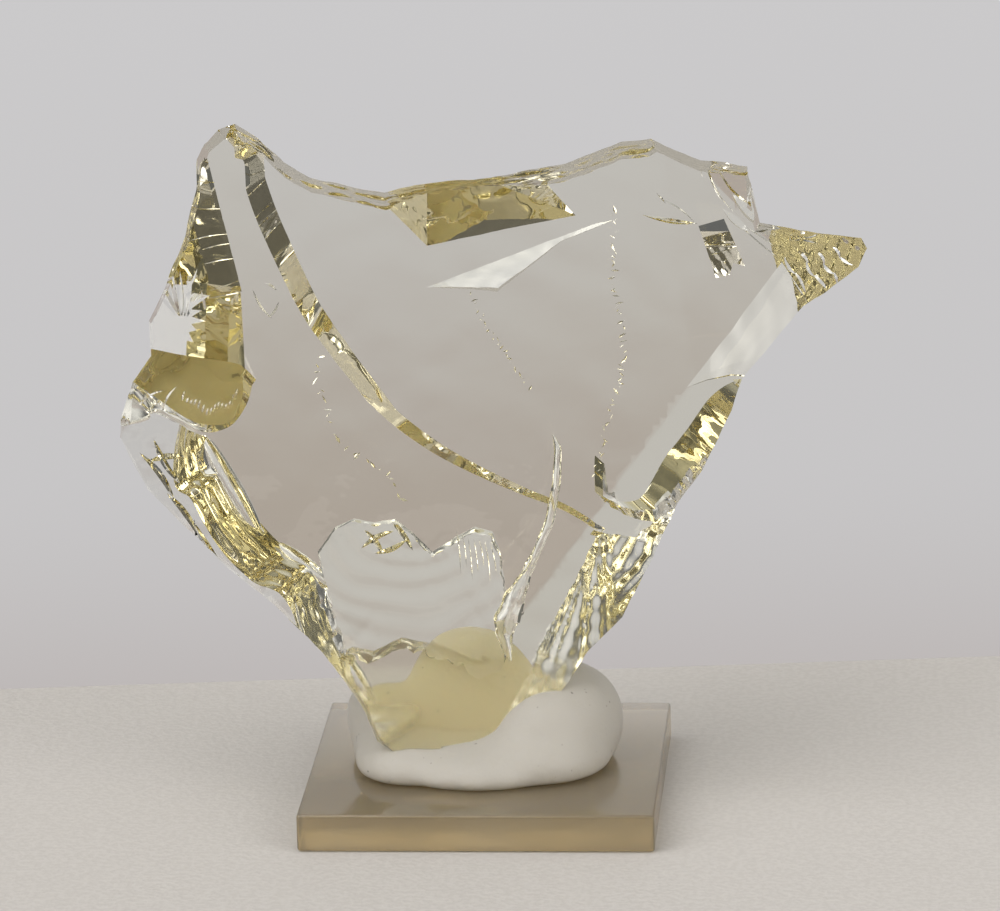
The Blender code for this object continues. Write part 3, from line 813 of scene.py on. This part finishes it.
def soft_lump():
    """The lobes run together, smoothed, and dimpled as by fingers."""
    bm = bmesh.new()
    for centre, radii, turn in PUTTY_LOBES:
        place = Matrix.Translation(centre) @ Matrix.Rotation(math.radians(turn), 4, 'Z')
        bmesh.ops.create_icosphere(bm, subdivisions=4, radius=1.0,
                                   matrix=place @ Matrix.Diagonal((*radii, 1.0)))
    for vert in bm.verts:
        vert.co = Vector((vert.co.x, vert.co.y, max(vert.co.z, BASE_THICK))) * MM
    putty = bmesh_object("putty_lump", bm)
    remesh = putty.modifiers.new("remesh", 'REMESH')
    remesh.mode = 'VOXEL'
    remesh.voxel_size = PUTTY_VOXEL * MM
    smooth = putty.modifiers.new("smooth", 'SMOOTH')
    smooth.iterations = 45
    apply_modifiers(putty)
    points = np.array([v.co for v in putty.data.vertices]) / MM
    outward = np.array([v.normal for v in putty.data.vertices])
    swell = 0.22 * rough(points, 7.0, 51) + 0.05 * rough(points, 2.2, 55)
    points = points + outward * swell.reshape(-1, 1)
    points[:, 2] = np.maximum(points[:, 2], BASE_THICK + PUTTY_LIFT)
    for vert, point in zip(putty.data.vertices, points):
        vert.co = Vector(point) * MM
    return putty


def make_putty():
    """A soft lump pressed round the foot of the shard; the faces against the glass take a far
    brighter copy of its material, painted light where the glass covers it.
    """
    putty = soft_lump()
    pocket = rough_slab("pocket", grow=-POCKET_GAP)
    carve(pocket, foot_cuts(inset=POCKET_GAP))
    pocket.data.transform(shard_place())
    putty.data.materials.clear()
    putty.data.materials.append(putty_material("white_putty", (0.40, 0.378, 0.340)))
    # A far brighter copy of the same putty: painted light on the faces that the glass covers.
    putty.data.materials.append(putty_material("putty_painted_bright", (0.99, 0.92, 0.78)))
    walls = BVHTree.FromPolygons([v.co.copy() for v in pocket.data.vertices],
                                 [p.vertices[:] for p in pocket.data.polygons])
    boolean(putty, pocket, 'DIFFERENCE')
    # Faces on the pocket walls take the brighter copy, which paints in light that should reach them
    # through the glass.
    for polygon in putty.data.polygons:
        if walls.find_nearest(polygon.center)[3] < ON_WALL * MM:
            polygon.material_index = 1
    putty.data.shade_smooth()
    putty.data.set_sharp_from_angle(angle=math.radians(50))
    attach(putty, "root")
    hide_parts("putty")


def make_base():
    """The square block: polished faces and softened edges."""
    low, high = (Vector(corner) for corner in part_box("base_plate"))
    bm = bmesh.new()
    place = Matrix.Translation((low + high) / 2) @ Matrix.Diagonal((*(high - low), 1.0))
    bmesh.ops.create_cube(bm, size=1.0, matrix=place)
    bmesh.ops.bevel(bm, geom=bm.edges[:], offset=0.35 * MM, segments=4, profile=0.5,
                    affect='EDGES', clamp_overlap=True)
    base = bmesh_object("base_block", bm)
    base.data.shade_smooth()
    base.data.set_sharp_from_angle(angle=math.radians(35))
    base.data.materials.append(acrylic_material())
    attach(base, "root")
    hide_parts("base_plate")


# --- materials -----------------------------------------------------------------------------

def new_material(name):
    made = bpy.data.materials.new(name)
    made.use_nodes = True
    nodes = made.node_tree.nodes
    return made, nodes, made.node_tree.links, nodes["Principled BSDF"]


def absorb(nodes, links, per_metre, density):
    """Volume absorption of per_metre (red, green, blue), each less than density."""
    volume = nodes.new("ShaderNodeVolumeAbsorption")
    volume.inputs["Color"].default_value = (*[1 - k / density for k in per_metre], 1.0)
    volume.inputs["Density"].default_value = density
    links.new(volume.outputs["Volume"], nodes["Material Output"].inputs["Volume"])


def noise_node(nodes, links, scale, detail=3.0, stretch=(1.0, 1.0, 1.0)):
    """Noise of a piece's own coordinates, scale features a metre."""
    where = nodes.new("ShaderNodeTexCoord")
    place = nodes.new("ShaderNodeMapping")
    place.inputs["Scale"].default_value = stretch
    made = nodes.new("ShaderNodeTexNoise")
    made.inputs["Scale"].default_value = scale
    made.inputs["Detail"].default_value = detail
    links.new(where.outputs["Object"], place.inputs["Vector"])
    links.new(place.outputs["Vector"], made.inputs["Vector"])
    return made.outputs[0]


def bump(nodes, links, shader, height, depth):
    """Bump of depth metres from a height of 0 to 1."""
    made = nodes.new("ShaderNodeBump")
    made.inputs["Distance"].default_value = depth
    links.new(height, made.inputs["Height"])
    links.new(made.outputs["Normal"], shader.inputs["Normal"])


def colours(nodes, links, shader, value, low, high, between=(0.35, 0.65)):
    """Base colour from low to high by a value."""
    mix = nodes.new("ShaderNodeMix")
    mix.data_type = 'RGBA'
    mix.inputs[6].default_value = (*low, 1.0)
    mix.inputs[7].default_value = (*high, 1.0)
    links.new(ramp(nodes, links, value, *between, 0.0, 1.0), mix.inputs[0])
    links.new(mix.outputs[2], shader.inputs["Base Color"])


def added(nodes, links, first, second):
    """The sum of two values."""
    total = nodes.new("ShaderNodeMath")
    total.operation = 'ADD'
    links.new(first, total.inputs[0])
    links.new(second, total.inputs[1])
    return total.outputs[0]


def how_high(nodes, links):
    """How high a point of the piece is, in metres."""
    place = nodes.new("ShaderNodeTexCoord")
    split = nodes.new("ShaderNodeSeparateXYZ")
    links.new(place.outputs["Object"], split.inputs[0])
    return split.outputs[2]


def glass_material():
    """Clear pale yellow glass, faintly patchy in gloss and hazed where the putty grips it."""
    made, nodes, links, shader = new_material("shard_glass")
    shader.inputs["Base Color"].default_value = (1.0, 1.0, 1.0, 1.0)
    shader.inputs["IOR"].default_value = 1.5
    shader.inputs["Transmission Weight"].default_value = 1.0
    patches = noise_node(nodes, links, 160.0)
    gloss = added(nodes, links, ramp(nodes, links, patches, 0.5, 0.8, 0.0, 0.02),
                  ramp(nodes, links, how_high(nodes, links), 0.009, 0.0215, 0.22, 0.0))
    links.new(gloss, shader.inputs["Roughness"])
    bump(nodes, links, shader, noise_node(nodes, links, 300.0, 2.0), 0.00001)
    absorb(nodes, links, (4.2, 5.8, 14.0), 30.0)
    return made


def acrylic_material():
    """Aged clear acrylic, amber and a little cloudy."""
    made, nodes, links, shader = new_material("base_acrylic")
    shader.inputs["IOR"].default_value = 1.49
    shader.inputs["Transmission Weight"].default_value = 0.9
    haze = noise_node(nodes, links, 90.0)
    colours(nodes, links, shader, haze, (0.89, 0.79, 0.60), (0.94, 0.85, 0.68))
    links.new(ramp(nodes, links, haze, 0.3, 0.7, 0.07, 0.20), shader.inputs["Roughness"])
    bump(nodes, links, shader, noise_node(nodes, links, 250.0, 3.0, (1.0, 1.0, 6.0)), 0.000002)
    absorb(nodes, links, (22.0, 28.0, 44.0), 46.0)
    return made


def putty_material(name, colour):
    """Matt putty with a few dark specks."""
    made, nodes, links, shader = new_material(name)
    shader.inputs["Specular IOR Level"].default_value = 0.4
    shader.inputs["Subsurface Weight"].default_value = 0.4
    shader.inputs["Subsurface Radius"].default_value = (1.0, 0.9, 0.7)
    shader.inputs["Subsurface Scale"].default_value = 0.001
    specks = noise_node(nodes, links, 1400.0, 1.0)
    colours(nodes, links, shader, specks, tuple(0.45 * c for c in colour), colour, (0.20, 0.27))
    links.new(ramp(nodes, links, noise_node(nodes, links, 250.0), 0.3, 0.7, 0.42, 0.62),
              shader.inputs["Roughness"])
    bump(nodes, links, shader, noise_node(nodes, links, 900.0, 5.0), 0.00008)
    return made


def floor_material():
    made, nodes, links, shader = new_material("floor_pale")
    weave = noise_node(nodes, links, 1500.0, 2.0)
    colours(nodes, links, shader, weave, (0.480, 0.455, 0.430), (0.520, 0.495, 0.470))
    links.new(ramp(nodes, links, weave, 0.3, 0.7, 0.75, 0.9), shader.inputs["Roughness"])
    bump(nodes, links, shader, weave, 0.0001)
    return made


# A dark sheet seen only in the glass: painted shade in its reflections and refractions.
def shade_card_material():
    made, nodes, links, shader = new_material("painted_shade_card")
    weave = noise_node(nodes, links, 900.0, 2.0)
    colours(nodes, links, shader, weave, (0.055, 0.050, 0.036), (0.075, 0.068, 0.050))
    links.new(ramp(nodes, links, weave, 0.3, 0.7, 0.85, 0.95), shader.inputs["Roughness"])
    return made


# --- light, floor and camera ---------------------------------------------------------------

CAMERA_PLACE = (0.0518, -0.6174, 0.2164)
CAMERA_RIGHT = (0.99702191, 0.07334911, -0.02381638)
CAMERA_UP = (0.00254849, 0.27732119, 0.96077389)
CAMERA_BACK = (0.0770767, -0.95797331, 0.27630838)


def make_camera():
    data = bpy.data.cameras.new("camera")
    data.lens = 216.0
    data.sensor_width = 36.0
    data.clip_start = 0.01
    camera = linked("camera", data)
    camera.location = CAMERA_PLACE
    axes = Matrix((CAMERA_RIGHT, CAMERA_UP, CAMERA_BACK))
    camera.rotation_euler = axes.transposed().to_euler()
    bpy.context.scene.camera = camera


# The floor's reach each way, its height, the line where it ends behind the piece and falls
# away, and how far it falls.
FLOOR_REACH = 3.0
FLOOR_LEVEL = -0.0001
FLOOR_END = ((3, 0.062), (0.0559, 0.0486), (-0.0595, 0.0362), (-3, 0.03))
FLOOR_FALL = -1.4
# The near and far edges, half the width and the height of the dark shade card: a sheet seen only in
# the glass, painting shade there.
SHADE_CARD = (-0.055, -0.60, 0.5, 0.0005)


def make_stage():
    """A pale floor, and a dark sheet in front that shows only through or on the glass, as painted
    shade in its reflections and refractions.
    """
    corners = [(-FLOOR_REACH, -FLOOR_REACH), (FLOOR_REACH, -FLOOR_REACH), *FLOOR_END]
    verts = [(*corner, FLOOR_LEVEL) for corner in corners]
    verts += [(FLOOR_REACH, FLOOR_REACH, FLOOR_FALL), (-FLOOR_REACH, FLOOR_REACH, FLOOR_FALL)]
    floor = mesh_object("floor", verts, [(0, 1, 2, 3, 4, 5), (5, 4, 3, 2, 6, 7)])
    floor.data.materials.append(floor_material())
    near, far, half, level = SHADE_CARD
    corners = ((-half, near), (half, near), (half, far), (-half, far))
    card = mesh_object("shade_card_in_glass", [(*corner, level) for corner in corners], [(0, 3, 2, 1)])
    card.data.materials.append(shade_card_material())
    # Seen only by glossy and transmission rays: it paints dark reflections into the glass, and
    # neither blocks light nor casts a shadow.
    card.visible_camera = False
    card.visible_diffuse = False
    card.visible_shadow = False


def softbox(name, place, aim, size, radiance):
    """A soft rectangular light that faces a point."""
    light = bpy.data.lights.new(name, 'AREA')
    light.shape = 'RECTANGLE'
    light.size, light.size_y = size
    light.energy = radiance * math.pi * size[0] * size[1]
    lamp = linked(name, light)
    lamp.location = place
    lamp.rotation_euler = (Vector(place) - Vector(aim)).to_track_quat('Z', 'Y').to_euler()


def ramp(nodes, links, value, start, end, low, high):
    """A smooth step of a value from low to high."""
    step = nodes.new("ShaderNodeMapRange")
    step.interpolation_type = 'SMOOTHSTEP'
    for name, number in (("From Min", start), ("From Max", end), ("To Min", low), ("To Max", high)):
        step.inputs[name].default_value = number
    links.new(value, step.inputs["Value"])
    return step.outputs[0]


def vector_math(nodes, links, operation, *inputs):
    """A vector operation on sockets or plain values."""
    made = nodes.new("ShaderNodeVectorMath")
    made.operation = operation
    for socket, given in zip(made.inputs, inputs):
        if hasattr(given, "links"):
            links.new(given, socket)
        else:
            socket.default_value = given
    return made


# Each glow of the studio: where it is, the cosines where it starts and is full, its radiance.
GLOWS = (
    ((0.0, 0.953, -0.30), 0.70, 0.96, (0.48, 0.470, 0.475)),
    ((0.0, 0.0, 1.0), -0.36, -0.12, (0.05, 0.055, 0.06)),
    ((0.0, 0.0, -1.0), 0.275, 0.345, (-0.10, -0.135, -0.155)),
    ((0.0, 0.0, 1.0), 0.25, 0.85, (0.50, 0.495, 0.485)),
    ((-0.45, 0.88, -0.14), 0.975, 0.988, (0.25, 0.25, 0.25)),
    ((-0.72, -0.68, 0.20), 0.84, 0.94, (2.1, 2.04, 1.92)),
    ((0.78, -0.60, 0.20), 0.84, 0.94, (2.7, 2.60, 2.42)),
    ((-0.45, -0.35, 0.80), 0.80, 0.95, (2.1, 2.08, 2.05)),
    ((0.0, 0.90, 0.42), 0.90, 0.97, (0.5, 0.5, 0.5)),
)
ROOM = (0.08, 0.078, 0.076)


def make_light():
    """A pale studio: a light wall behind, a soft light above, a dimmer room in front."""
    world = bpy.data.worlds.new("studio")
    bpy.context.scene.world = world
    world.use_nodes = True
    nodes, links = world.node_tree.nodes, world.node_tree.links
    where = nodes.new("ShaderNodeTexCoord")
    total = ROOM
    for aim, start, full, radiance in GLOWS:
        facing = vector_math(nodes, links, 'DOT_PRODUCT', where.outputs["Generated"],
                             Vector(aim).normalized())
        share = ramp(nodes, links, facing.outputs["Value"], start, full, 0.0, 1.0)
        glow = vector_math(nodes, links, 'MULTIPLY', share, radiance)
        total = vector_math(nodes, links, 'ADD', glow.outputs["Vector"], total).outputs["Vector"]
    links.new(total, nodes["Background"].inputs["Color"])
    softbox("key", (0.55, -0.45, 0.45), (0, 0, 0.04), (0.3, 0.3), 2.0)


scene = bpy.context.scene
scene.view_settings.view_transform = 'Standard'
scene.cycles.max_bounces = 32
scene.cycles.transmission_bounces = 24
scene.cycles.glossy_bounces = 16
make_camera()
make_light()
make_stage()
make_shard()
make_putty()
make_base()
